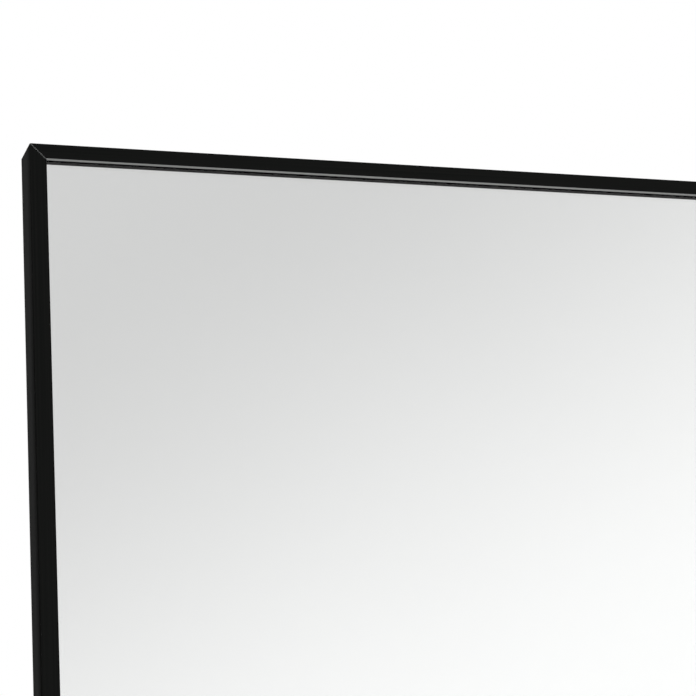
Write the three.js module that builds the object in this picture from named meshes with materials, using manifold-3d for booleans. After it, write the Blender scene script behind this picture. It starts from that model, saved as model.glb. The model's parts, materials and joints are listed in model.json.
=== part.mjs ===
// A leaning floor mirror: a slim black aluminium frame round a glass pane, standing on two
// rubber feet and leaning its two rear bumpers on a wall.
//
// Millimetres. +X is the viewer's right, +Y runs into the wall and +Z is up. Every piece is
// made and placed on the upright mirror, whose front face is y = 0, whose lower edge is z = 0
// and whose middle is x = 0. One group then leans the whole of it back.

import * as THREE from 'three';
import * as BufferGeometryUtils from 'three/addons/utils/BufferGeometryUtils.js';
import Module from 'manifold-3d';

// ---- Driving dimensions -------------------------------------------------------------------

const MIRROR_WIDTH = 800;
const MIRROR_HEIGHT = 1800;
const LEAN_ANGLE = THREE.MathUtils.degToRad(6);

// Frame extrusion: a front lip, an outer web and a slotted channel along the rear.
const FACE_WIDTH = 11;
const FRAME_DEPTH = 30;
const WEB_THICKNESS = 1.6;
const LIP_THICKNESS = 2;
const LIP_CHAMFER = 1;
const OUTER_ARRIS = 0.3;
const CHANNEL_DEPTH = 10;
const CHANNEL_FLOOR = 1.5;
const REAR_LIP_THICKNESS = 1.5;
const SLOT_WIDTH = 4;
const MITRE_GAP = 0.3;

// Clearances.
const SEAT_GAP = 0.3;
const GLASS_EDGE_GAP = 1;

// The pack of sheets behind the lip, front to back.
const GLASS_THICKNESS = 4;
const GLASS_ARRIS = 0.4;
const COATING_GAP = 0.1;
const COATING_THICKNESS = 0.2;
const FOAM_THICKNESS = 2;
const BOARD_THICKNESS = 3;

// Bowed spring clips that press the pack forward.
const CLIP_LENGTH = 60;
const CLIP_THICKNESS = 0.5;
const CLIPS_PER_STILE = 3;
const CLIPS_PER_RAIL = 2;

// Corner keys and their grub screws.
const KEY_LEG = 30;
const KEY_THICKNESS = 2.5;
const KEY_SCREW_RADIUS = 1.85;
const KEY_SCREW_PLACES = [14, 25];
const KEY_SOCKET_RADIUS = 1;
const KEY_SOCKET_DEPTH = 2;

// Ring hangers on the top rail, for the tether that keeps the mirror from tipping.
const HANGER_INSET = 120;
const HANGER_LENGTH = 46;
const HANGER_MARGIN = 0.5;
const HANGER_THICKNESS = 1.5;
const HANGER_SCREW_SPACING = 36;
const HANGER_SCREW_RADIUS = 1.7;
const HANGER_SCREW_LENGTH = 5.5;
const HANGER_HEAD_RADIUS = 3.4;
const HANGER_HEAD_HEIGHT = 2.2;
const DRIVE_WIDTH = 0.9;
const DRIVE_LENGTH = 3.4;
const DRIVE_DEPTH = 1.1;
const NUT_LENGTH = 44;
const NUT_THICKNESS = 2.5;
const LOOP_LENGTH = 12;
const LOOP_WALL = 1.2;
const LOOP_DROP = 1;
const LOOP_CLEARANCE = 0.25;
const RING_WIRE_RADIUS = 1.5;
const RING_HALF_WIDTH = 11;
const RING_CORNER_RADIUS = 2.5;
const RING_JOINT_GAP = 0.4;

// Rubber feet, cut on their soles to the lean.
const FOOT_INSET = 70;
const FOOT_LENGTH = 50;
const FOOT_EDGE = 2;
const FOOT_REAR_HEIGHT = 3;
const FOOT_STEM_RADIUS = 3;
const FOOT_BARB_RADIUS = 3.6;
const FOOT_BARB_HEIGHT = 2.2;

// Rubber bumpers behind the top rail, cut on their rear faces to the wall.
const BUMPER_INSET = 55;
const BUMPER_LENGTH = 40;
const BUMPER_TOP_THICKNESS = 8;
const BUMPER_MARGIN = 0.3;
const BUMPER_STEM_LENGTH = 12;
const BUMPER_HEAD_DEPTH = 2.3;

// How round the round things are.
const SCREW_SIDES = 16;
const LOOP_SIDES = 16;
const WIRE_SIDES = 12;
const RING_STEPS = 44;
const CLIP_SEGMENTS = 12;

// ---- Places worked out from them ----------------------------------------------------------

const HALF_WIDTH = MIRROR_WIDTH / 2;
const CHANNEL_FRONT = FRAME_DEPTH - CHANNEL_DEPTH;
const CHANNEL_INSIDE_FRONT = CHANNEL_FRONT + CHANNEL_FLOOR;
const CHANNEL_INSIDE_REAR = FRAME_DEPTH - REAR_LIP_THICKNESS;
const CHANNEL_INSIDE_WIDTH = FACE_WIDTH - 2 * WEB_THICKNESS;
const CHANNEL_MIDDLE = FACE_WIDTH / 2;
const IN_CHANNEL_WIDTH = CHANNEL_INSIDE_WIDTH - 2 * SEAT_GAP;

const GLASS_FRONT = LIP_THICKNESS + SEAT_GAP;
const COATING_FRONT = GLASS_FRONT + GLASS_THICKNESS + COATING_GAP;
const FOAM_FRONT = COATING_FRONT + COATING_THICKNESS + SEAT_GAP;
const BOARD_FRONT = FOAM_FRONT + FOAM_THICKNESS + SEAT_GAP;
const BOARD_REAR = BOARD_FRONT + BOARD_THICKNESS;
const PACK_INSET = WEB_THICKNESS + GLASS_EDGE_GAP;

const HANGER_FRONT = FRAME_DEPTH + SEAT_GAP;
const LOOP_BORE = RING_WIRE_RADIUS + LOOP_CLEARANCE;
const LOOP_RADIUS = LOOP_BORE + LOOP_WALL;
const LOOP_Y = HANGER_FRONT + HANGER_THICKNESS + RING_WIRE_RADIUS + SEAT_GAP;
const LOOP_Z = MIRROR_HEIGHT - FACE_WIDTH - LOOP_DROP;

// The sole is level and the bumpers' faces are upright once the mirror leans.
const SLOPE = Math.tan(LEAN_ANGLE);
const FOOT_REAR = FRAME_DEPTH - FOOT_EDGE;
const soleHeight = (y) => -FOOT_REAR_HEIGHT - (FOOT_REAR - y) * SLOPE;
const BUMPER_TOP = MIRROR_HEIGHT - BUMPER_MARGIN;
const wallDepth = (z) => FRAME_DEPTH + BUMPER_TOP_THICKNESS + (BUMPER_TOP - z) * SLOPE;

// ---- Finishes -----------------------------------------------------------------------------

const finish = (color, roughness, metalness) => (
  new THREE.MeshStandardMaterial({ color, roughness, metalness })
);
const FRAME_BLACK = finish(0x1d1e1d, 0.45, 0.6);
const CLEAR_GLASS = finish(0xdfe8e6, 0.02, 0);
const SILVER = finish(0xf2f3f2, 0.02, 1);
const WHITE_FOAM = finish(0xe6e6e2, 0.9, 0);
const BROWN_BOARD = finish(0x8a6a4a, 0.8, 0);
const SPRING_STEEL = finish(0x8f9496, 0.35, 1);
const ZINC = finish(0xb4b8ba, 0.4, 1);
const RUBBER = finish(0x141414, 0.85, 0);

// ---- Solids -------------------------------------------------------------------------------

const wasm = await Module();
wasm.setup();
const MERGE_DISTANCE = 1e-4;

// A closed three.js geometry as a solid that can be cut and joined.
function toSolid(geometry) {
  const bare = geometry.clone();
  bare.deleteAttribute('normal');
  bare.deleteAttribute('uv');
  const merged = BufferGeometryUtils.mergeVertices(bare, MERGE_DISTANCE);
  const mesh = new wasm.Mesh({
    numProp: 3,
    vertProperties: merged.attributes.position.array,
    triVerts: new Uint32Array(merged.index.array),
  });
  return new wasm.Manifold(mesh);
}

function toGeometry(solid) {
  const mesh = solid.getMesh();
  const geometry = new THREE.BufferGeometry();
  geometry.setAttribute('position', new THREE.BufferAttribute(mesh.vertProperties, 3));
  geometry.setIndex(new THREE.BufferAttribute(mesh.triVerts, 1));
  geometry.computeVertexNormals();
  return geometry;
}

const subtract = (body, ...tools) => (
  toGeometry(tools.reduce((left, tool) => left.subtract(toSolid(tool)), toSolid(body)))
);
const join = (body, ...others) => (
  toGeometry(others.reduce((whole, other) => whole.add(toSolid(other)), toSolid(body)))
);

// A box between two corners.
function boxBetween(low, high) {
  const size = high.map((value, i) => value - low[i]);
  const middle = high.map((value, i) => (value + low[i]) / 2);
  return new THREE.BoxGeometry(...size).translate(...middle);
}

function outline(points) {
  return new THREE.Shape(points.map(([x, y]) => new THREE.Vector2(x, y)));
}

// An outline in x and y, pulled along z.
function prism(points, length) {
  return new THREE.ExtrudeGeometry(outline(points), { depth: length, bevelEnabled: false });
}

// An outline given in y and z, pulled along x and centred on x = 0.
function crossPrism(points, length) {
  const turned = prism(points, length);
  turned.translate(0, 0, -length / 2);
  return turned.applyMatrix4(new THREE.Matrix4().makeBasis(
    new THREE.Vector3(0, 1, 0),
    new THREE.Vector3(0, 0, 1),
    new THREE.Vector3(1, 0, 0),
  ));
}

// A round bar along y from one depth to another.
function barAlongY(radius, from, to, sides = SCREW_SIDES) {
  const bar = new THREE.CylinderGeometry(radius, radius, to - from, sides);
  return bar.translate(0, (from + to) / 2, 0);
}

// ---- Frame --------------------------------------------------------------------------------

// The extrusion's section: u runs inwards from its outer face, d back from its front face.
function frameSection() {
  const slotLow = CHANNEL_MIDDLE - SLOT_WIDTH / 2;
  const slotHigh = CHANNEL_MIDDLE + SLOT_WIDTH / 2;
  const channelLow = WEB_THICKNESS;
  const channelHigh = FACE_WIDTH - WEB_THICKNESS;
  return [
    [OUTER_ARRIS, 0],
    [FACE_WIDTH - LIP_CHAMFER, 0],
    [FACE_WIDTH, LIP_CHAMFER],
    [FACE_WIDTH, LIP_THICKNESS],
    [WEB_THICKNESS, LIP_THICKNESS],
    [WEB_THICKNESS, CHANNEL_FRONT],
    [FACE_WIDTH, CHANNEL_FRONT],
    [FACE_WIDTH, FRAME_DEPTH],
    [slotHigh, FRAME_DEPTH],
    [slotHigh, CHANNEL_INSIDE_REAR],
    [channelHigh, CHANNEL_INSIDE_REAR],
    [channelHigh, CHANNEL_INSIDE_FRONT],
    [channelLow, CHANNEL_INSIDE_FRONT],
    [channelLow, CHANNEL_INSIDE_REAR],
    [slotLow, CHANNEL_INSIDE_REAR],
    [slotLow, FRAME_DEPTH],
    [0, FRAME_DEPTH],
    [0, OUTER_ARRIS],
  ];
}

// One mitred length of it along z, cut at 45 degrees at both ends.
function frameMember(length) {
  const member = prism(frameSection(), length);
  const setBack = MITRE_GAP / Math.SQRT2;
  const position = member.attributes.position;
  for (let i = 0; i < position.count; i += 1) {
    const cut = position.getX(i) + setBack;
    const atStart = position.getZ(i) < length / 2;
    position.setZ(i, atStart ? cut : length - cut);
  }
  return member;
}

// The bottom rail is drilled through its web for the feet's stems.
function bottomRail() {
  const holes = [FOOT_INSET, MIRROR_WIDTH - FOOT_INSET].map((place) => {
    const radius = FOOT_STEM_RADIUS + SEAT_GAP;
    const drill = new THREE.CylinderGeometry(radius, radius, 4 * WEB_THICKNESS, SCREW_SIDES);
    return drill.rotateZ(Math.PI / 2).translate(0, footStemDepth(), place);
  });
  return subtract(frameMember(MIRROR_WIDTH), ...holes);
}

// The stems pass between the board and the channel.
function footStemDepth() {
  return (BOARD_REAR + CHANNEL_FRONT) / 2;
}

// ---- Sheets -------------------------------------------------------------------------------

function sheet(thickness, front, arris = 0) {
  const halfWidth = HALF_WIDTH - PACK_INSET;
  const low = [-halfWidth, front, PACK_INSET];
  const high = [halfWidth, front + thickness, MIRROR_HEIGHT - PACK_INSET];
  if (arris === 0) return boxBetween(low, high);
  const pane = new THREE.ExtrudeGeometry(
    outline([
      [low[0] + arris, low[2] + arris],
      [high[0] - arris, low[2] + arris],
      [high[0] - arris, high[2] - arris],
      [low[0] + arris, high[2] - arris],
    ]),
    { depth: thickness - 2 * arris, bevelThickness: arris, bevelSize: arris, bevelSegments: 1 },
  );
  return pane.rotateX(Math.PI / 2).translate(0, front + thickness - arris, 0);
}

// A bowed strip along x: its ends bear on the board and its crown on the channel's floor.
function springClip() {
  const rise = CHANNEL_FRONT - BOARD_REAR - 2 * SEAT_GAP - CLIP_THICKNESS;
  const half = CLIP_LENGTH / 2;
  const radius = (half * half + rise * rise) / (2 * rise);
  const spread = Math.asin(half / radius);
  const crown = CHANNEL_FRONT - SEAT_GAP;
  const centre = crown - CLIP_THICKNESS - radius;
  const bow = new THREE.Shape();
  const start = Math.PI / 2 - spread;
  const end = Math.PI / 2 + spread;
  bow.absarc(0, centre, radius + CLIP_THICKNESS, start, end, false);
  bow.absarc(0, centre, radius, end, start, true);
  const width = FACE_WIDTH - WEB_THICKNESS - 2 * SEAT_GAP;
  const strip = new THREE.ExtrudeGeometry(bow, {
    depth: width,
    bevelEnabled: false,
    curveSegments: CLIP_SEGMENTS,
  });
  return strip.translate(0, 0, WEB_THICKNESS + SEAT_GAP);
}

// ---- Corner keys --------------------------------------------------------------------------

// Flat keys and nuts lie in the channel against its rear lips.
const KEY_REAR = CHANNEL_INSIDE_REAR - SEAT_GAP;

// An L in the channels of two members; its outer corner is at x = 0, z = 0.
function cornerKey() {
  const near = CHANNEL_MIDDLE - IN_CHANNEL_WIDTH / 2;
  const far = CHANNEL_MIDDLE + IN_CHANNEL_WIDTH / 2;
  const plate = prism([
    [near, near],
    [KEY_LEG, near],
    [KEY_LEG, far],
    [far, far],
    [far, KEY_LEG],
    [near, KEY_LEG],
  ], KEY_THICKNESS);
  plate.rotateX(Math.PI / 2).translate(0, KEY_REAR, 0);
  const holes = keyScrewSpots().map(([x, z]) => {
    const radius = KEY_SCREW_RADIUS + SEAT_GAP;
    return barAlongY(radius, CHANNEL_INSIDE_FRONT, FRAME_DEPTH).translate(x, 0, z);
  });
  return subtract(plate, ...holes);
}

function keyScrewSpots() {
  const along = KEY_SCREW_PLACES.map((place) => [place, CHANNEL_MIDDLE]);
  const up = KEY_SCREW_PLACES.map((place) => [CHANNEL_MIDDLE, place]);
  return [...along, ...up];
}

// A grub screw that bears on the channel's floor, with a hexagon socket at its rear.
function keyScrew() {
  const tip = CHANNEL_INSIDE_FRONT + SEAT_GAP;
  const body = barAlongY(KEY_SCREW_RADIUS, tip, KEY_REAR);
  const socket = barAlongY(KEY_SOCKET_RADIUS, KEY_REAR - KEY_SOCKET_DEPTH, FRAME_DEPTH, 6);
  return subtract(body, socket);
}

// ---- Hangers ------------------------------------------------------------------------------

// The plate lies on the top rail's rear, and the loop along its lower edge holds the ring.
function hangerPlate() {
  const half = HANGER_LENGTH / 2;
  const top = MIRROR_HEIGHT - HANGER_MARGIN;
  const low = MIRROR_HEIGHT - FACE_WIDTH + HANGER_MARGIN;
  const rear = HANGER_FRONT + HANGER_THICKNESS;
  const plate = boxBetween([-half, HANGER_FRONT, low], [half, rear, top]);
  const loop = new THREE.CylinderGeometry(LOOP_RADIUS, LOOP_RADIUS, LOOP_LENGTH, LOOP_SIDES);
  loop.rotateZ(Math.PI / 2).translate(0, LOOP_Y, LOOP_Z);
  const bore = new THREE.CylinderGeometry(LOOP_BORE, LOOP_BORE, 2 * LOOP_LENGTH, LOOP_SIDES);
  bore.rotateZ(Math.PI / 2).translate(0, LOOP_Y, LOOP_Z);
  const holes = hangerScrewSpots().map((x) => (
    barAlongY(HANGER_SCREW_RADIUS + SEAT_GAP, FRAME_DEPTH, rear + SEAT_GAP)
      .translate(x, 0, hangerScrewHeight())
  ));
  return subtract(join(plate, loop), bore, ...holes);
}

function hangerScrewSpots() {
  return [-HANGER_SCREW_SPACING / 2, HANGER_SCREW_SPACING / 2];
}

function hangerScrewHeight() {
  return MIRROR_HEIGHT - CHANNEL_MIDDLE;
}

// A bar nut inside the channel, threaded for the plate's two screws.
function hangerNut() {
  const half = NUT_LENGTH / 2;
  const height = hangerScrewHeight();
  const front = KEY_REAR - NUT_THICKNESS;
  const bar = boxBetween(
    [-half, front, height - IN_CHANNEL_WIDTH / 2],
    [half, KEY_REAR, height + IN_CHANNEL_WIDTH / 2],
  );
  const holes = hangerScrewSpots().map((x) => (
    barAlongY(HANGER_SCREW_RADIUS + SEAT_GAP, CHANNEL_INSIDE_FRONT, FRAME_DEPTH)
      .translate(x, 0, height)
  ));
  return subtract(bar, ...holes);
}

// A pan-head screw with a cross drive.
function hangerScrew() {
  const seat = HANGER_FRONT + HANGER_THICKNESS + SEAT_GAP;
  const top = seat + HANGER_HEAD_HEIGHT;
  const shank = barAlongY(HANGER_SCREW_RADIUS, seat - HANGER_SCREW_LENGTH, seat + SEAT_GAP);
  const head = barAlongY(HANGER_HEAD_RADIUS, seat, top);
  const arms = [
    [DRIVE_LENGTH, DRIVE_WIDTH],
    [DRIVE_WIDTH, DRIVE_LENGTH],
  ].map(([x, z]) => (
    boxBetween([-x / 2, top - DRIVE_DEPTH, -z / 2], [x / 2, top + SEAT_GAP, z / 2])
  ));
  return subtract(join(shank, head), ...arms);
}

// An arc in the plane y = 0.
class FlatArc extends THREE.Curve {
  constructor(x, z, radius, from, to) {
    super();
    Object.assign(this, { x, z, radius, from, to });
  }

  getPoint(t, target = new THREE.Vector3()) {
    const angle = this.from + (this.to - this.from) * t;
    const x = this.x + this.radius * Math.cos(angle);
    const z = this.z + this.radius * Math.sin(angle);
    return target.set(x, 0, z);
  }
}

// A D of round wire that hangs from its straight bar, the wire's ends meeting in the loop.
function dRing() {
  const straight = RING_HALF_WIDTH - RING_CORNER_RADIUS;
  const corner = RING_CORNER_RADIUS;
  const bend = (side, from, to) => new FlatArc(side * straight, -corner, corner, from, to);
  const barHalf = (side) => [
    new THREE.Vector3(side * RING_JOINT_GAP / 2, 0, 0),
    new THREE.Vector3(side * straight, 0, 0),
  ];
  const path = new THREE.CurvePath();
  path.add(new THREE.LineCurve3(...barHalf(1)));
  path.add(bend(1, Math.PI / 2, 0));
  path.add(new FlatArc(0, -corner, RING_HALF_WIDTH, 0, -Math.PI));
  path.add(bend(-1, Math.PI, Math.PI / 2));
  path.add(new THREE.LineCurve3(...barHalf(-1).reverse()));
  const wire = new THREE.Shape().absarc(0, 0, RING_WIRE_RADIUS, 0, 2 * Math.PI, false);
  return new THREE.ExtrudeGeometry(wire, {
    steps: RING_STEPS,
    curveSegments: WIRE_SIDES / 2,
    extrudePath: path,
  });
}

// ---- Rubber -------------------------------------------------------------------------------

// A wedge under the bottom rail, with a barbed stem through the web.
function floorFoot() {
  const top = -SEAT_GAP;
  const wedge = crossPrism([
    [FOOT_EDGE, top],
    [FOOT_EDGE, soleHeight(FOOT_EDGE)],
    [FOOT_REAR, soleHeight(FOOT_REAR)],
    [FOOT_REAR, top],
  ], FOOT_LENGTH);
  const barbLow = WEB_THICKNESS + SEAT_GAP;
  const barbTop = barbLow + FOOT_BARB_HEIGHT;
  const profile = [
    [0, 2 * top],
    [FOOT_STEM_RADIUS, 2 * top],
    [FOOT_STEM_RADIUS, barbLow],
    [FOOT_BARB_RADIUS, barbLow],
    [FOOT_STEM_RADIUS / 2, barbTop],
    [0, barbTop],
  ].map(([x, y]) => new THREE.Vector2(x, y));
  const stem = new THREE.LatheGeometry(profile, SCREW_SIDES);
  stem.rotateX(Math.PI / 2).translate(0, footStemDepth(), 0);
  return join(wedge, stem);
}

// A block on the top rail's rear, with a headed stem pressed into the channel's slot.
function wallBumper() {
  const low = MIRROR_HEIGHT - FACE_WIDTH + BUMPER_MARGIN;
  const front = FRAME_DEPTH + SEAT_GAP;
  const block = crossPrism([
    [front, low],
    [wallDepth(low), low],
    [wallDepth(BUMPER_TOP), BUMPER_TOP],
    [front, BUMPER_TOP],
  ], BUMPER_LENGTH);
  const neck = SLOT_WIDTH / 2 - SEAT_GAP;
  const head = IN_CHANNEL_WIDTH / 2;
  const headRear = CHANNEL_INSIDE_REAR - SEAT_GAP;
  const headFront = headRear - BUMPER_HEAD_DEPTH;
  const stem = crossPrism([
    [headFront, -head],
    [headRear, -head],
    [headRear, -neck],
    [front + SEAT_GAP, -neck],
    [front + SEAT_GAP, neck],
    [headRear, neck],
    [headRear, head],
    [headFront, head],
  ], BUMPER_STEM_LENGTH);
  return join(block, stem.translate(0, 0, MIRROR_HEIGHT - CHANNEL_MIDDLE));
}

// ---- Assembly -----------------------------------------------------------------------------

const mirror = new THREE.Group();

function place(parent, name, geometry, material, [x, y, z] = [0, 0, 0], turn = 0) {
  const mesh = new THREE.Mesh(geometry, material.clone());
  mesh.name = name;
  mesh.position.set(x, y, z);
  mesh.rotation.y = turn;
  parent.add(mesh);
  return mesh;
}

// Each member is made upright from its outer corner and turned a quarter about y.
const QUARTER = Math.PI / 2;
const leftStile = frameMember(MIRROR_HEIGHT);
const rightStile = frameMember(MIRROR_HEIGHT);
place(mirror, 'left_stile', leftStile, FRAME_BLACK, [-HALF_WIDTH, 0, 0]);
place(mirror, 'right_stile', rightStile, FRAME_BLACK, [HALF_WIDTH, 0, MIRROR_HEIGHT], 2 * QUARTER);
const topRail = frameMember(MIRROR_WIDTH);
place(mirror, 'top_rail', topRail, FRAME_BLACK, [-HALF_WIDTH, 0, MIRROR_HEIGHT], QUARTER);
place(mirror, 'bottom_rail', bottomRail(), FRAME_BLACK, [HALF_WIDTH, 0, 0], -QUARTER);

place(mirror, 'mirror_glass', sheet(GLASS_THICKNESS, GLASS_FRONT, GLASS_ARRIS), CLEAR_GLASS);
place(mirror, 'silver_coating', sheet(COATING_THICKNESS, COATING_FRONT), SILVER);
place(mirror, 'foam_sheet', sheet(FOAM_THICKNESS, FOAM_FRONT), WHITE_FOAM);
place(mirror, 'backing_board', sheet(BOARD_THICKNESS, BOARD_FRONT), BROWN_BOARD);

// The four corners, each with the quarter turn that carries the bottom-left one to it.
const CORNERS = [
  ['bottom_left', [-HALF_WIDTH, 0, 0], 0],
  ['top_left', [-HALF_WIDTH, 0, MIRROR_HEIGHT], QUARTER],
  ['top_right', [HALF_WIDTH, 0, MIRROR_HEIGHT], 2 * QUARTER],
  ['bottom_right', [HALF_WIDTH, 0, 0], -QUARTER],
];
for (const [corner, [x, y, z], turn] of CORNERS) {
  const seat = new THREE.Group();
  seat.position.set(x, y, z);
  seat.rotation.y = turn;
  mirror.add(seat);
  place(seat, `corner_key_${corner}`, cornerKey(), ZINC);
  keyScrewSpots().forEach(([along, up], i) => {
    place(seat, `key_screw_${corner}_${i + 1}`, keyScrew(), ZINC, [along, 0, up]);
  });
}

// Spring clips stand evenly along each member.
function placeClips(side, count, length, [x, y, z], turn) {
  for (let i = 0; i < count; i += 1) {
    const seat = new THREE.Group();
    seat.position.set(x, y, z);
    seat.rotation.y = turn;
    mirror.add(seat);
    const along = ((i + 1) * length) / (count + 1);
    place(seat, `spring_clip_${side}_${i + 1}`, springClip(), SPRING_STEEL, [along, 0, 0]);
  }
}
placeClips('bottom', CLIPS_PER_RAIL, MIRROR_WIDTH, [-HALF_WIDTH, 0, 0], 0);
placeClips('left', CLIPS_PER_STILE, MIRROR_HEIGHT, [-HALF_WIDTH, 0, MIRROR_HEIGHT], QUARTER);
placeClips('top', CLIPS_PER_RAIL, MIRROR_WIDTH, [HALF_WIDTH, 0, MIRROR_HEIGHT], 2 * QUARTER);
placeClips('right', CLIPS_PER_STILE, MIRROR_HEIGHT, [HALF_WIDTH, 0, 0], -QUARTER);

for (const [side, sign] of [['left', -1], ['right', 1]]) {
  const hangerX = sign * (HALF_WIDTH - HANGER_INSET);
  place(mirror, `hanger_plate_${side}`, hangerPlate(), ZINC, [hangerX, 0, 0]);
  place(mirror, `hanger_nut_${side}`, hangerNut(), ZINC, [hangerX, 0, 0]);
  hangerScrewSpots().forEach((offset, i) => {
    const spot = [hangerX + offset, 0, hangerScrewHeight()];
    place(mirror, `hanger_screw_${side}_${i + 1}`, hangerScrew(), ZINC, spot);
  });
  // The ring hangs plumb, so it is turned back by the lean.
  const ring = place(mirror, `d_ring_${side}`, dRing(), ZINC, [hangerX, LOOP_Y, LOOP_Z]);
  ring.rotation.x = LEAN_ANGLE;

  const footX = sign * (HALF_WIDTH - FOOT_INSET);
  place(mirror, `floor_foot_${side}`, floorFoot(), RUBBER, [footX, 0, 0]);
  const bumperX = sign * (HALF_WIDTH - BUMPER_INSET);
  place(mirror, `wall_bumper_${side}`, wallBumper(), RUBBER, [bumperX, 0, 0]);
}

// Lean the mirror back, soles on z = 0, half-way between its front edge and the wall.
const wallY = wallDepth(BUMPER_TOP) * Math.cos(LEAN_ANGLE) + BUMPER_TOP * Math.sin(LEAN_ANGLE);
const soleZ = soleHeight(FOOT_REAR) * Math.cos(LEAN_ANGLE) - FOOT_REAR * Math.sin(LEAN_ANGLE);
mirror.rotation.x = -LEAN_ANGLE;
mirror.position.set(0, -wallY / 2, -soleZ);

const leaningMirror = new THREE.Group();
leaningMirror.add(mirror);

export default leaningMirror;
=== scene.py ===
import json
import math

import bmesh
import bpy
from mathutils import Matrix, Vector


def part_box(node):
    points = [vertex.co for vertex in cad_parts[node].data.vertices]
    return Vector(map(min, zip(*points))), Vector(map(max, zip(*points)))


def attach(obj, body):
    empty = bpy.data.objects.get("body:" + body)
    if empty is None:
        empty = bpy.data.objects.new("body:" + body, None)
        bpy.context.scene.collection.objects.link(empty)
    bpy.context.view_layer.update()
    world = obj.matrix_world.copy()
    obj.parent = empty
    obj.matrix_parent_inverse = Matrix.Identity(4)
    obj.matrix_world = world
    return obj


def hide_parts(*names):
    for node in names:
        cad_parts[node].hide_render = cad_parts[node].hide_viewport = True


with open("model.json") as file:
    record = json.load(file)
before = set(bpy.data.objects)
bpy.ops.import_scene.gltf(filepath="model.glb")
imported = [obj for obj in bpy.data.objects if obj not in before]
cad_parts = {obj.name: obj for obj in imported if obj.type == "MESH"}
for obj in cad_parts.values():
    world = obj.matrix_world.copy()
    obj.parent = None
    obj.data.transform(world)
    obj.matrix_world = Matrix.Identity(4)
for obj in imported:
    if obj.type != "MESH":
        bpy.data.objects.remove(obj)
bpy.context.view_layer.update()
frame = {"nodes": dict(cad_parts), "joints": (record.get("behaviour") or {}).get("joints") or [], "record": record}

# %% [markdown]
# # A leaning floor mirror
# This lesson dresses a finished construction. The frame that was just loaded holds every piece
# of the mirror at its real size and place: four mitred lengths of black extrusion, the glass,
# the sheets behind it, and the small hardware at the back. Here each piece gets its fine shape,
# such as softened edges and moulded grooves, and its surface. Nothing is moved or resized.

# %% [markdown]
# ## Sizes
# Blender works in metres. The mirror leans back by six degrees, so its pieces are easier to
# think of upright: front face at y = 0, lower edge at z = 0, middle at x = 0. One matrix then
# leans a piece that was modelled upright into its place. The matrix comes from two facts of the
# frame: the soles of the feet are on the floor, and the bumpers touch the wall.

# %% Sizes and the leaning matrix
MM = 0.001
LEAN = math.radians(6)
WIDTH = 800 * MM
HEIGHT = 1800 * MM
FACE = 11 * MM
DEPTH = 30 * MM
SEAT = 0.3 * MM

mounts = {mount["name"]: mount for mount in frame["record"]["mounts"]}
wall_y = mounts["wall_rest_left"]["pos_m"][1]
foot_rear, foot_rear_height = 28 * MM, 3 * MM
lift = foot_rear * math.sin(LEAN) + foot_rear_height * math.cos(LEAN)
LEANING = Matrix.Translation((0, -wall_y, lift)) @ Matrix.Rotation(-LEAN, 4, "X")
UPRIGHT = LEANING.inverted()
corner = LEANING @ Vector((-WIDTH / 2, 0, HEIGHT))
print("top left corner of the frame at", tuple(round(value, 4) for value in corner))

# %% [markdown]
# ## Camera
# The photograph looks closely at the top left corner, from the left and from below. The lines
# of the frame run to their vanishing points so slowly that the lens must be long. The camera is
# therefore placed from the corner outwards: how far it stands back along its own view, how far
# the corner lies to the left and above the middle of the picture, and how it is turned
# against the mirror.

# %% Camera
PICTURE = 696
FOCAL_PIXELS = 2200
SENSOR = 36
CORNER_ACROSS, CORNER_UP, CORNER_AWAY = -205.3 * MM, 132.3 * MM, 1418.9 * MM
CAMERA_YAW, CAMERA_PITCH, CAMERA_ROLL = (math.radians(a) for a in (-19.32, 15.1, -3.55))

facing_mirror = Matrix.Rotation(math.radians(90), 3, "X")
yaw = Matrix.Rotation(CAMERA_YAW, 3, "Z")
pitch = Matrix.Rotation(CAMERA_PITCH, 3, "X")
roll = Matrix.Rotation(CAMERA_ROLL, 3, "Z")
turn = LEANING.to_3x3() @ yaw @ facing_mirror @ pitch @ roll
camera_data = bpy.data.cameras.new("camera")
camera = bpy.data.objects.new("camera", camera_data)
bpy.context.collection.objects.link(camera)
camera_data.sensor_width = SENSOR
camera_data.lens = FOCAL_PIXELS / PICTURE * SENSOR
camera.rotation_euler = turn.to_euler()
camera.location = corner - turn @ Vector((CORNER_ACROSS, CORNER_UP, -CORNER_AWAY))
bpy.context.scene.camera = camera
bpy.context.scene.view_settings.view_transform = "Standard"
print("camera at", tuple(round(value, 3) for value in camera.location), "lens", camera_data.lens)

# %% [markdown]
# ## Handling pieces
# An operator acts on everything that is selected, and the loaded frame comes in selected. So
# each step first lets go of everything and then takes up one piece. A copy of a loaded piece is
# a heap of loose triangles: its doubled points are merged and its flat faces made whole again
# before anything else is done to it. The copy is also brought upright, where it is easy to
# think about.

# %% Take up a piece, copy one, soften its edges
MERGE_DISTANCE = 0.01 * MM
FLAT_ANGLE = math.radians(1)
SMOOTH_ANGLE = math.radians(35)


def let_go():
    if bpy.context.object and bpy.context.object.mode != "OBJECT":
        bpy.ops.object.mode_set(mode="OBJECT")
    bpy.ops.object.select_all(action="DESELECT")


def take_up(piece, *others):
    let_go()
    for each in (piece, *others):
        each.select_set(True)
    bpy.context.view_layer.objects.active = piece


def upright_copy(node, name):
    piece = bpy.data.objects.new(name, frame["nodes"][node].data.copy())
    bpy.context.collection.objects.link(piece)
    piece.data.transform(UPRIGHT)
    piece.data.materials.clear()
    take_up(piece)
    bpy.ops.mesh.customdata_custom_splitnormals_clear()
    bpy.ops.object.mode_set(mode="EDIT")
    bpy.ops.mesh.select_all(action="SELECT")
    bpy.ops.mesh.remove_doubles(threshold=MERGE_DISTANCE)
    bpy.ops.mesh.dissolve_limited(angle_limit=FLAT_ANGLE)
    bpy.ops.object.mode_set(mode="OBJECT")
    return piece


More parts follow.
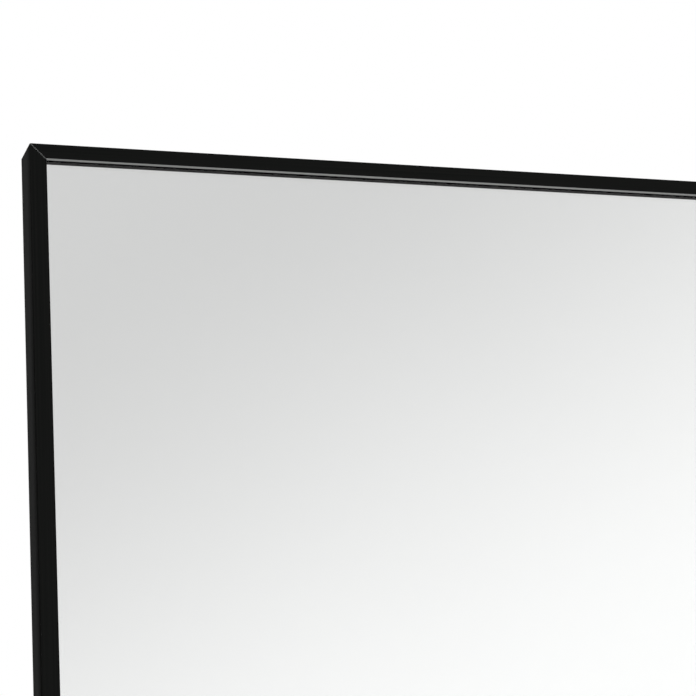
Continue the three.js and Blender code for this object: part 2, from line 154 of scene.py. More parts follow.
def soften(piece, width, steps=2, angle=30):
    take_up(piece)
    bpy.ops.object.mode_set(mode="EDIT")
    bpy.ops.mesh.select_all(action="SELECT")
    bpy.ops.mesh.remove_doubles(threshold=MERGE_DISTANCE)
    bpy.ops.object.mode_set(mode="OBJECT")
    bevel = piece.modifiers.new("softened edges", "BEVEL")
    bevel.width = width
    bevel.segments = steps
    bevel.angle_limit = math.radians(angle)
    bpy.ops.object.modifier_apply(modifier=bevel.name)
    bpy.ops.object.shade_smooth_by_angle(angle=SMOOTH_ANGLE)


# %% [markdown]
# Small pieces are cut and joined like metal on a bench: a tool body is placed through the work
# and taken away from it, or welded on. The tool body is deleted afterwards. A finished piece is
# leaned into place and then stands for its piece of the construction: it rides on the same
# body.

# %% Cut, weld, and put a piece in its place
def apply_tool(piece, tool, operation):
    take_up(piece)
    cut = piece.modifiers.new(operation.lower(), "BOOLEAN")
    cut.operation = operation
    cut.solver = "EXACT"
    cut.object = tool
    bpy.ops.object.modifier_apply(modifier=cut.name)
    bpy.data.objects.remove(tool)


def shape_of(piece):
    """Bake the object's own place into its mesh."""
    take_up(piece)
    bpy.ops.object.transform_apply(location=True, rotation=True, scale=True)
    return piece


def block(low, high):
    """A tool body or a start: a box between two corners."""
    let_go()
    size = [b - a for a, b in zip(low, high)]
    middle = [(a + b) / 2 for a, b in zip(low, high)]
    bpy.ops.mesh.primitive_cube_add(size=1, location=middle, scale=size)
    return shape_of(bpy.context.object)


AXES = {"x": (0, math.radians(90), 0), "y": (math.radians(90), 0, 0), "z": (0, 0, 0)}


def rod(axis, radius, middle, length, sides=48):
    """A tool body or a start: a round bar along one axis."""
    let_go()
    bpy.ops.mesh.primitive_cylinder_add(
        vertices=sides, radius=radius, depth=length, location=middle, rotation=AXES[axis])
    return shape_of(bpy.context.object)


def twin(piece, name, move=(0, 0, 0)):
    """A copy with its own mesh, moved."""
    other = piece.copy()
    other.data = piece.data.copy()
    other.name = name
    bpy.context.collection.objects.link(other)
    other.data.transform(Matrix.Translation(move))
    return other


def put_in_place(piece, node, body, lean=True):
    if lean:
        piece.data.transform(LEANING)
    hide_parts(node)
    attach(piece, body)
    print(piece.name, "stands for", node, "with", len(piece.data.polygons), "faces")


# %% [markdown]
# ## Studio
# The object is photographed against plain white, and its glass shows a light grey backdrop that
# grows paler downwards and to the right. One world serves both. The camera sees white on every
# side. Glossy surfaces and clear glass see white behind the mirror and, in front of it, where
# the glass looks, a backdrop that runs softly from grey to white. Everything else receives an
# even, plain light, so a colour looks about as it was mixed.

# %% World
BACKDROP_GREY, BACKDROP_PALE = 0.69, 1.08
PALE_TOWARDS = Vector((0.489, -0.101, -0.867))
PALE_FROM, PALE_TO = -0.157, 0.153
FRONT_FROM, FRONT_TO = -0.55, -0.25
AMBIENT = 0.72

world = bpy.data.worlds.new("studio")
world.use_nodes = True
bpy.context.scene.world = world
nodes, links = world.node_tree.nodes, world.node_tree.links
nodes.clear()


def add(kind, **values):
    node = nodes.new(kind)
    for key, value in values.items():
        setattr(node, key, value)
    return node


direction = add("ShaderNodeTexCoord").outputs["Generated"]
lean_to_pale = add("ShaderNodeVectorMath", operation="DOT_PRODUCT")
links.new(direction, lean_to_pale.inputs[0])
lean_to_pale.inputs[1].default_value = PALE_TOWARDS
grey_to_pale = add("ShaderNodeMapRange", interpolation_type="SMOOTHSTEP")
links.new(lean_to_pale.outputs["Value"], grey_to_pale.inputs["Value"])
for key, value in (("From Min", PALE_FROM), ("From Max", PALE_TO),
                   ("To Min", BACKDROP_GREY), ("To Max", BACKDROP_PALE)):
    grey_to_pale.inputs[key].default_value = value
parts = add("ShaderNodeSeparateXYZ")
links.new(direction, parts.inputs["Vector"])
behind = add("ShaderNodeMapRange", interpolation_type="SMOOTHSTEP")
links.new(parts.outputs["Y"], behind.inputs["Value"])
behind.inputs["From Min"].default_value = FRONT_FROM
behind.inputs["From Max"].default_value = FRONT_TO
backdrop = add("ShaderNodeMix", data_type="FLOAT")
links.new(behind.outputs["Result"], backdrop.inputs["Factor"])
links.new(grey_to_pale.outputs["Result"], backdrop.inputs["A"])
backdrop.inputs["B"].default_value = 1

rays = add("ShaderNodeLightPath").outputs
mirrored = add("ShaderNodeMath", operation="MAXIMUM")
links.new(rays["Is Glossy Ray"], mirrored.inputs[0])
links.new(rays["Is Transmission Ray"], mirrored.inputs[1])
unseen = add("ShaderNodeMix", data_type="FLOAT")
links.new(mirrored.outputs["Value"], unseen.inputs["Factor"])
unseen.inputs["A"].default_value = AMBIENT
links.new(backdrop.outputs["Result"], unseen.inputs["B"])
strength = add("ShaderNodeMix", data_type="FLOAT")
links.new(rays["Is Camera Ray"], strength.inputs["Factor"])
links.new(unseen.outputs["Result"], strength.inputs["A"])
strength.inputs["B"].default_value = 1
background = add("ShaderNodeBackground")
background.inputs["Color"].default_value = (1, 1, 1, 1)
links.new(strength.outputs["Result"], background.inputs["Strength"])
output = add("ShaderNodeOutputWorld")
links.new(background.outputs["Background"], output.inputs["Surface"])
print("world with", len(nodes), "nodes")

# %% [markdown]
# Three large soft lamps shape the object. The two in front are hidden from glossy surfaces, or
# the glass would show them as bright discs. The one behind may glint on the metal there,
# where the glass can't see it. The floor is a wide pale sheet that keeps the shadows and fades
# away into the white at a distance, so that no horizon shows, not even in the glass.

# %% Lamps
LAMP_SIZE = 2.4


def lamp(name, place, aim, watts, glints):
    data = bpy.data.lights.new(name, "AREA")
    data.shape = "DISK"
    data.size = LAMP_SIZE
    data.energy = watts
    item = bpy.data.objects.new(name, data)
    bpy.context.collection.objects.link(item)
    item.location = place
    item.rotation_euler = (Vector(aim) - Vector(place)).to_track_quat("-Z", "Y").to_euler()
    item.visible_camera = False
    item.visible_glossy = glints
    item.visible_transmission = glints


lamp("lamp_front_right", (2.2, -2.8, 2.4), (0, 0, 0.9), 44, False)
lamp("lamp_front_left", (-3.0, -2.2, 2.2), (0, 0, 0.9), 34, False)
lamp("lamp_behind", (1.4, 3.2, 3.0), (0, 0.1, 1.0), 46, True)

# %% Floor
FLOOR_SIZE = 16
SOLID_TO, GONE_AT = 1.2, 6.5
FLOOR_TONE = (0.82, 0.82, 0.81)
MOTTLE_TONE = [value * 0.985 for value in FLOOR_TONE]
MOTTLE_SCALE = 3
FLOOR_ROUGH, FLOOR_GLOSS = 0.7, 0.2

let_go()
bpy.ops.mesh.primitive_grid_add(x_subdivisions=4, y_subdivisions=4, size=FLOOR_SIZE)
floor = bpy.context.object
floor.name = "studio_floor"
paint = bpy.data.materials.new("floor_paint")
paint.use_nodes = True
nodes, links = paint.node_tree.nodes, paint.node_tree.links
place = add("ShaderNodeTexCoord").outputs["Object"]
mottle = add("ShaderNodeTexNoise")
links.new(place, mottle.inputs["Vector"])
mottle.inputs["Scale"].default_value = MOTTLE_SCALE
tone = add("ShaderNodeMix", data_type="RGBA")
links.new(mottle.outputs["Fac"], tone.inputs["Factor"])
tone.inputs["A"].default_value = (*FLOOR_TONE, 1)
tone.inputs["B"].default_value = (*MOTTLE_TONE, 1)
shader = nodes["Principled BSDF"]
links.new(tone.outputs["Result"], shader.inputs["Base Color"])
shader.inputs["Roughness"].default_value = FLOOR_ROUGH
shader.inputs["Specular IOR Level"].default_value = FLOOR_GLOSS
far = add("ShaderNodeVectorMath", operation="LENGTH")
links.new(place, far.inputs[0])
fade = add("ShaderNodeMapRange", interpolation_type="SMOOTHSTEP")
links.new(far.outputs["Value"], fade.inputs["Value"])
fade.inputs["From Min"].default_value = SOLID_TO
fade.inputs["From Max"].default_value = GONE_AT
blend = add("ShaderNodeMixShader")
links.new(fade.outputs["Result"], blend.inputs[0])
links.new(shader.outputs["BSDF"], blend.inputs[1])
links.new(add("ShaderNodeBsdfTransparent").outputs["BSDF"], blend.inputs[2])
links.new(blend.outputs["Shader"], nodes["Material Output"].inputs["Surface"])
floor.data.materials.append(paint)
print("floor", FLOOR_SIZE, "m wide")

# %% [markdown]
# ## Finishes
# Every finish starts from a noise, because no real surface is one flat colour. The noise is
# laid out in the object's own coordinates, turned upright with the mirror, and the size of its
# grain is given in millimetres along each direction: a rolled or drawn metal has a grain that is
# hair-thin across and very long along. The noise shifts the colour and the roughness a little
# and raises the surface by a few hundredths of a millimetre.

# %% A finish with a grain
NOISE_LOW, NOISE_HIGH = 0.3, 0.7


def finish(name, dark, light, grain, rough, relief, metal=0.0, gloss=0.5, detail=4, rim=1):
    """dark, light: the two tones. grain: its size in mm along x, y, z. rough: low and high.
    rim: how much of its light a metal throws back at a glancing angle."""
    global nodes, links
    made = bpy.data.materials.new(name)
    made.use_nodes = True
    nodes, links = made.node_tree.nodes, made.node_tree.links
    shader = nodes["Principled BSDF"]
    shader.inputs["Metallic"].default_value = metal
    shader.inputs["Specular IOR Level"].default_value = gloss
    shader.inputs["Specular Tint"].default_value = (rim, rim, rim, 1)
    place = add("ShaderNodeMapping", vector_type="TEXTURE")
    links.new(add("ShaderNodeTexCoord").outputs["Object"], place.inputs["Vector"])
    place.inputs["Location"].default_value = LEANING.translation
    place.inputs["Rotation"].default_value = (-LEAN, 0, 0)
    place.inputs["Scale"].default_value = [size * MM for size in grain]
    noise = add("ShaderNodeTexNoise")
    links.new(place.outputs["Vector"], noise.inputs["Vector"])
    noise.inputs["Scale"].default_value = 1
    noise.inputs["Detail"].default_value = detail
    spread = add("ShaderNodeMapRange")
    links.new(noise.outputs["Fac"], spread.inputs["Value"])
    spread.inputs["From Min"].default_value = NOISE_LOW
    spread.inputs["From Max"].default_value = NOISE_HIGH
    tone = add("ShaderNodeMix", data_type="RGBA")
    links.new(spread.outputs["Result"], tone.inputs["Factor"])
    tone.inputs["A"].default_value = (*dark, 1)
    tone.inputs["B"].default_value = (*light, 1)
    links.new(tone.outputs["Result"], shader.inputs["Base Color"])
    dull = add("ShaderNodeMapRange")
    links.new(noise.outputs["Fac"], dull.inputs["Value"])
    dull.inputs["To Min"].default_value, dull.inputs["To Max"].default_value = rough
    links.new(dull.outputs["Result"], shader.inputs["Roughness"])
    if relief:
        bump = add("ShaderNodeBump")
        links.new(noise.outputs["Fac"], bump.inputs["Height"])
        bump.inputs["Distance"].default_value = relief * MM
        links.new(bump.outputs["Normal"], shader.inputs["Normal"])
    print("finish", name)
    return made


# %% [markdown]
# The frame is satin black. Its grain follows the drawing direction, so the stiles and the rails
# each have their own. Where the saw has cut through the black skin at the mitres, bare metal
# shows as a fine light line. Along the rails' inner arris the same light metal is a painted
# highlight: it stands for the glint of light on that slope, which the stiles' matching slope doesn't get.

# %% Black skin, bare metal with a painted highlight, and hardware finishes
BLACK_DARK, BLACK_LIGHT = (0.0065, 0.0070, 0.0067), (0.0096, 0.0098, 0.0093)
BLACK_ROUGH, BLACK_RELIEF, BLACK_METAL, BLACK_RIM = (0.36, 0.5), 0.004, 0.5, 0.3
black_stile = finish("satin_black_stile", BLACK_DARK, BLACK_LIGHT, (0.8, 0.8, 260),
                     BLACK_ROUGH, BLACK_RELIEF, metal=BLACK_METAL, gloss=0, rim=BLACK_RIM)
black_rail = finish("satin_black_rail", BLACK_DARK, BLACK_LIGHT, (260, 0.8, 0.8),
                    BLACK_ROUGH, BLACK_RELIEF, metal=BLACK_METAL, gloss=0, rim=BLACK_RIM)
# Light metal: bare at the mitre cuts, and a painted highlight along the rails' inner slope.
seam_metal_and_painted_highlight = finish("bare_arris", (0.25, 0.255, 0.255), (0.36, 0.365, 0.36), (90, 0.4, 0.4),
                   (0.3, 0.5), 0.003, metal=1)
zinc = finish("bright_zinc", (0.5, 0.52, 0.53), (0.66, 0.68, 0.69), (5, 5, 5),
              (0.22, 0.42), 0.01, metal=1, detail=8)
zinc_wire = finish("bright_zinc_wire", (0.55, 0.57, 0.58), (0.7, 0.72, 0.73), (0.5, 3, 3),
                   (0.2, 0.36), 0.008, metal=1)
spring_steel = finish("blued_spring_steel", (0.16, 0.17, 0.19), (0.3, 0.31, 0.33),
                      (30, 0.4, 0.4), (0.28, 0.45), 0.005, metal=1)
rubber = finish("moulded_rubber", (0.016, 0.016, 0.016), (0.028, 0.028, 0.027),
                (0.7, 0.7, 0.7), (0.7, 0.9), 0.04, gloss=0.3)
foam = finish("closed_cell_foam", (0.78, 0.78, 0.76), (0.88, 0.88, 0.86), (0.6, 0.6, 0.6),
              (0.85, 0.95), 0.05, gloss=0.2)

# %% [markdown]
# The backing board is brown fibreboard. Two grains lie over each other: a fine pressed grain,
# and broad, very faint cloudy patches. Curled fibres that are darker than the rest lie in it
# every way: they follow one level line of a twisted noise.

# %% Fibreboard
board = finish("brown_fibreboard", (0.2, 0.125, 0.068), (0.33, 0.215, 0.125), (0.9, 0.9, 0.9),
               (0.6, 0.78), 0.03, gloss=0.3, detail=8)
CLOUD_SCALE, CLOUD_TWIST = 0.006, 0.3
CLOUD_DARK, CLOUD_LIGHT = 0.93, 1.06
FIBRE_SCALE, FIBRE_TWIST = 0.16, 2.5
FIBRE_LEVEL, FIBRE_WIDTH = 0.5, 0.006
FIBRE_DARK = 0.72

shader = nodes["Principled BSDF"]
fine_tone = shader.inputs["Base Color"].links[0].from_socket
place = next(node for node in nodes if node.type == "MAPPING")
clouds = add("ShaderNodeTexNoise")
fibres = add("ShaderNodeTexNoise")
for texture, scale, twist in ((clouds, CLOUD_SCALE, CLOUD_TWIST),
                              (fibres, FIBRE_SCALE, FIBRE_TWIST)):
    links.new(place.outputs["Vector"], texture.inputs["Vector"])
    texture.inputs["Scale"].default_value = scale
    texture.inputs["Distortion"].default_value = twist
level = add("ShaderNodeMath", operation="COMPARE")
links.new(fibres.outputs["Fac"], level.inputs[0])
level.inputs[1].default_value = FIBRE_LEVEL
level.inputs[2].default_value = FIBRE_WIDTH
lines = add("ShaderNodeMapRange")
links.new(level.outputs["Value"], lines.inputs["Value"])
lines.inputs["To Min"].default_value = 1
lines.inputs["To Max"].default_value = FIBRE_DARK
cloudy = add("ShaderNodeMapRange")
links.new(clouds.outputs["Fac"], cloudy.inputs["Value"])
cloudy.inputs["To Min"].default_value = CLOUD_DARK
cloudy.inputs["To Max"].default_value = CLOUD_LIGHT
both = add("ShaderNodeMath", operation="MULTIPLY")
links.new(lines.outputs["Result"], both.inputs[0])
links.new(cloudy.outputs["Result"], both.inputs[1])
darker = add("ShaderNodeMix", data_type="RGBA", blend_type="MULTIPLY")
darker.inputs["Factor"].default_value = 1
links.new(fine_tone, darker.inputs["A"])
links.new(both.outputs["Value"], darker.inputs["B"])
links.new(darker.outputs["Result"], shader.inputs["Base Color"])
print("fibreboard with", len(nodes), "nodes")

# %% [markdown]
# ## Glass and silver
# A mirror is a clear pane with a layer of silver behind it. The pane bends light and shows the
# silver four millimetres deep, which gives the dark line of the frame its own image under the
# lip. Both are almost perfectly smooth: only the faintest haze, in broad soft patches, keeps
# them from looking computed.

# %% Clear pane and silver
GLASS_IOR = 1.52
HAZE_SHIFT = 0.995


def haze(name, tone, faint, metal, clear, size):
    """faint: its most roughness. clear: how much light goes through. size: its patches in mm."""
    made = finish(name, tone, [value * HAZE_SHIFT for value in tone], (size, size, size),
                  (0, faint), 0, metal=metal, detail=1)
    nodes["Principled BSDF"].inputs["Transmission Weight"].default_value = clear
    nodes["Principled BSDF"].inputs["IOR"].default_value = GLASS_IOR
    return made


glass = haze("clear_pane", (0.99, 0.993, 0.991), 0.008, 0, 1, 300)
silver = haze("silver_layer", (0.95, 0.952, 0.95), 0.012, 1, 0, 240)


def dress(node, material):
    """A loaded piece whose shape is right only gets its surface."""
    mesh = frame["nodes"][node].data
    mesh.materials.clear()
    mesh.materials.append(material)


dress("mirror_glass", glass)
dress("silver_coating", silver)
dress("foam_sheet", foam)
dress("backing_board", board)

# %% [markdown]
# ## Frame
# The frame is four lengths of one extrusion. A die leaves its corners slightly rounded, never
# sharp, so every edge gets a tiny round. Before that, the faces that get the light metal are
# picked out by the way they face: on a rail, the small slope along its inner arris, where the
# light metal is a painted highlight. After the rounding, the faces at the mitres get it as bare metal.

# %% The four lengths
EDGE_ROUND = 0.13 * MM
SLOPE_FACING = math.cos(math.radians(45)) - 0.02
BARE_SEAM = 0.3 * MM


def from_mitre(point):
    """How far a point lies from the nearest corner's 45 degree line."""
    across = WIDTH / 2 - abs(point.x)
    down = min(point.z, HEIGHT - point.z)
    return abs(across - down) / math.sqrt(2)


def dress_member(node, material, slope=0):
    """slope: which way a rail's painted highlight faces, 1 up or -1 down; 0 on a stile, which gets none."""
    piece = upright_copy(node, f"{node}_extrusion")
    piece.data.materials.append(material)
    piece.data.materials.append(seam_metal_and_painted_highlight)
    for face in piece.data.polygons:
        # A rail's inner slope gets the light metal as a painted highlight.
        on_painted_highlight_slope = face.normal.y < -SLOPE_FACING and face.normal.z * slope > SLOPE_FACING
        if on_painted_highlight_slope:
            face.material_index = 1
    soften(piece, EDGE_ROUND)
    seam = [f for f in piece.data.polygons if from_mitre(f.center) < BARE_SEAM]
    for face in seam:
        face.material_index = 1
    print(len(seam), "bare faces at the mitres")
    put_in_place(piece, node, "mirror")


dress_member("left_stile", black_stile)
dress_member("right_stile", black_stile)
dress_member("top_rail", black_rail, slope=-1)
dress_member("bottom_rail", black_rail, slope=1)

# %% [markdown]
# ## Rubber feet
# Each foot is a moulded wedge under the bottom rail: its sole is level while the rail leans. It
# starts as a plain block whose underside is turned about its rear edge by the lean. The upright
# corners are rounded, and a barbed stem goes up into the rail. The sole's grooves are cut after
# the foot has been leaned, because there they are level.

# %% One foot
FOOT_LENGTH, FOOT_EDGE, FOOT_CORNER = 50 * MM, 2 * MM, 4 * MM
STEM_RADIUS, BARB_RADIUS, BARB_HEIGHT = 3 * MM, 3.6 * MM, 2.2 * MM
WEB = 1.6 * MM
STEM_DEPTH = 16.1 * MM
FOOT_SOFT = 0.25 * MM
foot_x = mounts["floor_rest_right"]["pos_m"][0]


def in_edit(piece, mode="FACE"):
    take_up(piece)
    bpy.ops.object.mode_set(mode="EDIT")
    bpy.ops.mesh.select_mode(type=mode)
    bpy.ops.mesh.select_all(action="DESELECT")
    return bmesh.from_edit_mesh(piece.data)


def pick(piece, shape, items, wanted):
    """Select what is wanted and tell Blender about it."""
    for item in items:
        item.select_set(wanted(item))
    shape.select_flush_mode()
    bmesh.update_edit_mesh(piece.data)
    return sum(item.select for item in items)


foot = block((-FOOT_LENGTH / 2, FOOT_EDGE, -foot_rear_height), (FOOT_LENGTH / 2, foot_rear, -SEAT))
shape = in_edit(foot)
pick(foot, shape, shape.faces, lambda face: face.normal.z < -0.9)
bpy.ops.transform.rotate(value=-LEAN, orient_axis="X",
                         center_override=(0, foot_rear, -foot_rear_height))
bpy.ops.mesh.select_mode(type="EDGE")
shape = bmesh.from_edit_mesh(foot.data)
picked = pick(foot, shape, shape.edges, lambda edge: abs(
    (edge.verts[0].co - edge.verts[1].co).normalized().z) > 0.9)
bpy.ops.mesh.bevel(offset=FOOT_CORNER, segments=8, affect="EDGES")
bpy.ops.object.mode_set(mode="OBJECT")
print("foot:", picked, "upright edges rounded, lowest at", min(v.co.z for v in foot.data.vertices))

# %% The barbed stem
let_go()
bpy.ops.mesh.primitive_circle_add(vertices=32, radius=STEM_RADIUS, fill_type="NGON",
                                  location=(0, STEM_DEPTH, -2 * SEAT))
stem = shape_of(bpy.context.object)
barb_low = WEB + SEAT
RISES = (
    (barb_low + 2 * SEAT, 1),
    (0, BARB_RADIUS / STEM_RADIUS),
    (BARB_HEIGHT, STEM_RADIUS / 2 / BARB_RADIUS),
)
in_edit(stem)
bpy.ops.mesh.select_all(action="SELECT")
for rise, widen in RISES:
    bpy.ops.mesh.extrude_region_move(TRANSFORM_OT_translate={"value": (0, 0, rise)})
    bpy.ops.transform.resize(value=(widen, widen, 1), center_override=(0, STEM_DEPTH, 0))
bpy.ops.mesh.select_all(action="SELECT")
bpy.ops.mesh.normals_make_consistent(inside=False)
bpy.ops.object.mode_set(mode="OBJECT")
print("stem from", min(v.co.z for v in stem.data.vertices), "to",
      max(v.co.z for v in stem.data.vertices))
apply_tool(foot, stem, "UNION")

# %% Grooves in the sole, and the pair
GROOVE_WIDTH, GROOVE_DEPTH, GROOVE_PITCH, GROOVES = 1.2 * MM, 0.7 * MM, 4.6 * MM, 9


def comb(count, pitch, low, high, axis):
    """Several tool blocks in a row along an axis, as one body."""
    teeth = []
    for i in range(count):
        shift = [0, 0, 0]
        shift[axis] = (i - (count - 1) / 2) * pitch
        teeth.append(block([a + s for a, s in zip(low, shift)],
                           [b + s for b, s in zip(high, shift)]))
    take_up(*teeth)
    bpy.ops.object.join()
    return teeth[0]


foot.data.transform(LEANING)
sole_y = [v.co.y for v in foot.data.vertices if v.co.z < 0.1 * MM]
grooves = comb(GROOVES, GROOVE_PITCH, (-GROOVE_WIDTH / 2, min(sole_y) - MM, -MM),
               (GROOVE_WIDTH / 2, max(sole_y) + MM, GROOVE_DEPTH), 0)
apply_tool(foot, grooves, "DIFFERENCE")
soften(foot, FOOT_SOFT)
foot.name = "rubber_foot_left"
foot.data.materials.append(rubber)
right_foot = twin(foot, "rubber_foot_right", (foot_x, 0, 0))
foot.data.transform(Matrix.Translation((-foot_x, 0, 0)))
put_in_place(foot, "floor_foot_left", "mirror", lean=False)
put_in_place(right_foot, "floor_foot_right", "mirror", lean=False)

# %% [markdown]
# ## Wall bumpers
# A bumper is a rubber wedge behind each end of the top rail. Its face is upright where it meets
# the wall. Its outline and headed stem come with the construction, so the copy only needs soft
# edges and the fine level grooves that keep it from sliding.

# %% The pair of bumpers
LINE_WIDTH, LINE_DEPTH, LINE_PITCH, LINES = 1 * MM, 0.8 * MM, 2.6 * MM, 3
BUMPER_SOFT = 0.2 * MM

for side in ("left", "right"):
    node = f"wall_bumper_{side}"
    bumper = upright_copy(node, f"rubber_bumper_{side}")
    bumper.data.transform(LEANING)
    low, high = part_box(node)
    contact = mounts[f"wall_rest_{side}"]["pos_m"]
    cuts = comb(LINES, LINE_PITCH,
                (low.x - MM, wall_y - LINE_DEPTH, contact[2] - LINE_WIDTH / 2),
                (high.x + MM, wall_y + MM, contact[2] + LINE_WIDTH / 2), 2)
    apply_tool(bumper, cuts, "DIFFERENCE")
    soften(bumper, BUMPER_SOFT)
    bumper.data.materials.append(rubber)
    put_in_place(bumper, node, "mirror", lean=False)

# %% [markdown]
# ## Ring hangers
# The hanger is a zinc-plated strap, screwed to the top rail's rear, with a rolled loop along its
# lower edge. It starts as a flat block with rounded corners. A short tube is welded to its edge,
# then the bore and the screw holes are drilled through, and last all edges are broken. Where the
# cuts meet, a face of no size can be left over. It is dissolved.

# %% The strap and its loop
HANGER_LENGTH, HANGER_MARGIN, HANGER_THICKNESS = 46 * MM, 0.5 * MM, 1.5 * MM
HANGER_CORNER, HANGER_SOFT, NO_SIZE = 2 * MM, 0.15 * MM, 0.001 * MM
SCREW_SPACING, SCREW_RADIUS = 36 * MM, 1.7 * MM
RING_WIRE, LOOP_CLEARANCE, LOOP_WALL, LOOP_LENGTH = 1.5 * MM, 0.25 * MM, 1.2 * MM, 12 * MM
hanger_front = DEPTH + SEAT
hanger_rear = hanger_front + HANGER_THICKNESS
hinges = {joint["name"]: Vector(joint["pos_m"]) for joint in frame["joints"]}
right_hinge = hinges["right_ring_swing"]
loop_middle = UPRIGHT @ right_hinge
loop_at = (0, loop_middle.y, loop_middle.z)
screw_height = HEIGHT - FACE / 2

strap = block((-HANGER_LENGTH / 2, hanger_front, HEIGHT - FACE + HANGER_MARGIN),
              (HANGER_LENGTH / 2, hanger_rear, HEIGHT - HANGER_MARGIN))
shape = in_edit(strap, "EDGE")
pick(strap, shape, shape.edges, lambda edge: abs(edge.verts[0].co.y - edge.verts[1].co.y) > MM)
bpy.ops.mesh.bevel(offset=HANGER_CORNER, segments=6, affect="EDGES")
bpy.ops.object.mode_set(mode="OBJECT")
bore = RING_WIRE + LOOP_CLEARANCE
apply_tool(strap, rod("x", bore + LOOP_WALL, loop_at, LOOP_LENGTH), "UNION")
apply_tool(strap, rod("x", bore, loop_at, 2 * LOOP_LENGTH), "DIFFERENCE")
for x in (-SCREW_SPACING / 2, SCREW_SPACING / 2):
    hole = rod("y", SCREW_RADIUS + SEAT, (x, hanger_rear, screw_height), 10 * MM, 32)
    apply_tool(strap, hole, "DIFFERENCE")
soften(strap, HANGER_SOFT)
in_edit(strap)
bpy.ops.mesh.select_all(action="SELECT")
bpy.ops.mesh.dissolve_degenerate(threshold=NO_SIZE)
bpy.ops.object.mode_set(mode="OBJECT")
strap.data.materials.append(zinc)
print("hanger strap with", len(strap.data.polygons), "faces")

# %% [markdown]
# A pan-head screw: the head is a short bar whose rear rim is rounded into a dome, the shank a
# thinner bar with a pointed end, and the cross for the driver is pressed in with two blades.

# %% Pan-head screw
HEAD_RADIUS, HEAD_HEIGHT, SCREW_LENGTH = 3.4 * MM, 2.2 * MM, 5.5 * MM
CROSS_LENGTH, CROSS_WIDTH, CROSS_DEPTH = 3.4 * MM, 0.9 * MM, 1.1 * MM
DOME, SHANK_POINT, SCREW_SOFT = 1.6 * MM, 0.6 * MM, 0.1 * MM
NEAR = 0.1 * MM
seat = hanger_rear + SEAT
top = seat + HEAD_HEIGHT
screw = rod("y", HEAD_RADIUS, (0, seat + HEAD_HEIGHT / 2, screw_height), HEAD_HEIGHT)
shape = in_edit(screw, "EDGE")
pick(screw, shape, shape.edges, lambda edge: min(v.co.y for v in edge.verts) > top - NEAR)
bpy.ops.mesh.bevel(offset=DOME, segments=7, profile=0.6, affect="EDGES")
bpy.ops.object.mode_set(mode="OBJECT")
shank = rod("y", SCREW_RADIUS, (0, seat - SCREW_LENGTH / 2 + SEAT / 2, screw_height),
            SCREW_LENGTH + SEAT, 32)
shape = in_edit(shank, "EDGE")
pick(shank, shape, shape.edges,
     lambda edge: max(v.co.y for v in edge.verts) < seat - SCREW_LENGTH + NEAR)
bpy.ops.mesh.bevel(offset=SHANK_POINT, segments=2, affect="EDGES")
bpy.ops.object.mode_set(mode="OBJECT")
apply_tool(screw, shank, "UNION")
for width, height in ((CROSS_LENGTH, CROSS_WIDTH), (CROSS_WIDTH, CROSS_LENGTH)):
    blade = block((-width / 2, top - CROSS_DEPTH, screw_height - height / 2),
                  (width / 2, top + MM, screw_height + height / 2))
    apply_tool(screw, blade, "DIFFERENCE")
soften(screw, SCREW_SOFT, steps=1)
screw.data.materials.append(zinc)

# %% Two hangers, four screws
for side, x in (("left", -right_hinge.x), ("right", right_hinge.x)):
    hanger = twin(strap, f"hanger_strap_{side}", (x, 0, 0))
    put_in_place(hanger, f"hanger_plate_{side}", "mirror")
    for i, offset in ((1, -SCREW_SPACING / 2), (2, SCREW_SPACING / 2)):
        pan_head = twin(screw, f"pan_head_screw_{side}_{i}", (x + offset, 0, 0))
        put_in_place(pan_head, f"hanger_screw_{side}_{i}", "mirror")
for pattern in (strap, screw):
    bpy.data.objects.remove(pattern)

# %% [markdown]
# ## D rings
# A ring is bent from round wire: its straight bar turns in the loop, and the wire's two ends
# meet there. The wire's section, a circle, is drawn at one end, pulled along the bar, spun
# round the first corner, round the big bow and round the last corner, and pulled back. The ring
# hangs plumb from its hinge, so it is made in its place and not leaned.

# %% Wire bent into a D
RING_HALF, RING_CORNER, RING_JOINT = 11 * MM, 2.5 * MM, 0.4 * MM
RING_SOFT = 0.1 * MM
straight = RING_HALF - RING_CORNER
BENDS = (
    (straight, 8, math.radians(-90)),
    (0, 56, math.radians(-180)),
    (-straight, 8, math.radians(-90)),
)


def bend_ring(name, hinge):
    let_go()
    start = hinge + Vector((RING_JOINT / 2, 0, 0))
    bpy.ops.mesh.primitive_circle_add(vertices=24, radius=RING_WIRE, fill_type="NGON",
                                      location=start, rotation=AXES["x"])
    ring = shape_of(bpy.context.object)
    ring.name = name
    in_edit(ring)
    bpy.ops.mesh.select_all(action="SELECT")
    reach = straight - RING_JOINT / 2
    bpy.ops.mesh.extrude_region_move(TRANSFORM_OT_translate={"value": (reach, 0, 0)})
    for x, steps, angle in BENDS:
        middle = hinge + Vector((x, 0, -RING_CORNER))
        bpy.ops.mesh.spin(steps=steps, angle=angle, center=middle, axis=(0, 1, 0))
    bpy.ops.mesh.extrude_region_move(TRANSFORM_OT_translate={"value": (reach, 0, 0)})
    bpy.ops.mesh.select_all(action="SELECT")
    bpy.ops.mesh.remove_doubles(threshold=MERGE_DISTANCE)
    bpy.ops.mesh.normals_make_consistent(inside=False)
    bpy.ops.object.mode_set(mode="OBJECT")
    soften(ring, RING_SOFT, angle=50)
    ring.data.materials.append(zinc_wire)
    return ring


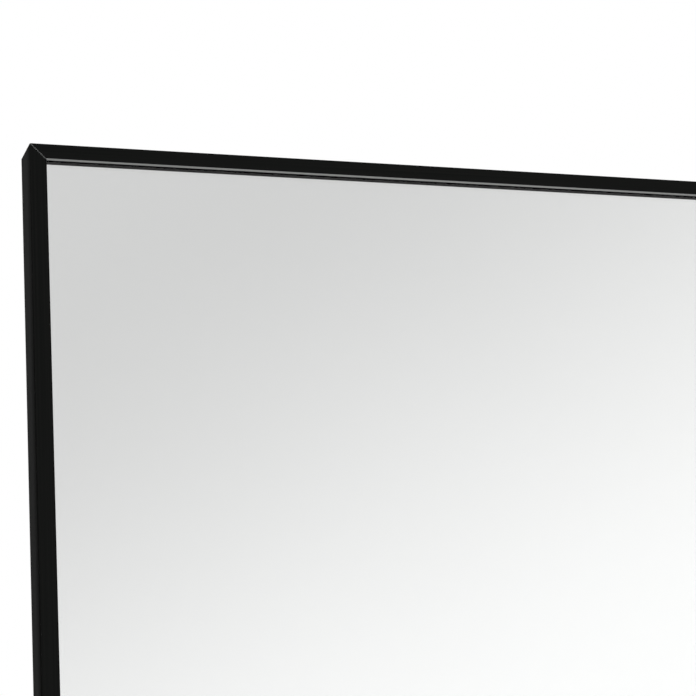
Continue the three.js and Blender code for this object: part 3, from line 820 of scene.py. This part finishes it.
for side in ("left", "right"):
    ring = bend_ring(f"wire_ring_{side}", hinges[f"{side}_ring_swing"])
    put_in_place(ring, f"d_ring_{side}", f"{side}_ring", lean=False)
    print(side, "ring", [round(value, 4) for value in ring.dimensions])

# %% [markdown]
# ## Hardware in the channels
# Through the slot along the frame's rear one can see the corner keys, their grub screws and the
# bar nuts, and past the board's edge the bowed spring clips. The keys, nuts and clips have their
# true outlines already and only need broken edges. A grub screw is turned anew: a round bar with
# a small slope at both ends and a hexagon socket for the key.

# %% Keys, nuts and clips
BROKEN_EDGE = 0.12 * MM
KINDS = {
    "corner_key": (zinc, "zinc_plate"),
    "hanger_nut": (zinc, "zinc_plate"),
    "spring_clip": (spring_steel, "spring_steel"),
}
for name in sorted(frame["nodes"]):
    kind = next((each for each in KINDS if name.startswith(each)), None)
    if kind:
        material, slot = KINDS[kind]
        piece = upright_copy(name, f"{name}_deburred")
        soften(piece, BROKEN_EDGE)
        piece.data.materials.append(material)
        put_in_place(piece, name, "mirror")

# %% Grub screws
GRUB_RADIUS, GRUB_TIP, GRUB_REAR = 1.85 * MM, 21.8 * MM, 28.2 * MM
GRUB_SLOPE = 0.35 * MM
SOCKET_RADIUS, SOCKET_DEPTH = 1 * MM, 2 * MM
grub = rod("y", GRUB_RADIUS, (0, (GRUB_TIP + GRUB_REAR) / 2, 0), GRUB_REAR - GRUB_TIP, 32)
soften(grub, GRUB_SLOPE)
socket = rod("y", SOCKET_RADIUS, (0, GRUB_REAR, 0), 2 * SOCKET_DEPTH, 6)
apply_tool(grub, socket, "DIFFERENCE")
take_up(grub)
bpy.ops.object.shade_smooth_by_angle(angle=SMOOTH_ANGLE)
grub.data.materials.append(zinc)
for name in sorted(frame["nodes"]):
    if name.startswith("key_screw"):
        low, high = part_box(name)
        middle = UPRIGHT @ ((low + high) / 2)
        piece = twin(grub, name.replace("key_screw", "grub_screw"), (middle.x, 0, middle.z))
        put_in_place(piece, name, "mirror")
bpy.data.objects.remove(grub)

# %% [markdown]
# ## Last step
# Nothing stays selected at the end.

# %% Let go of everything
let_go()
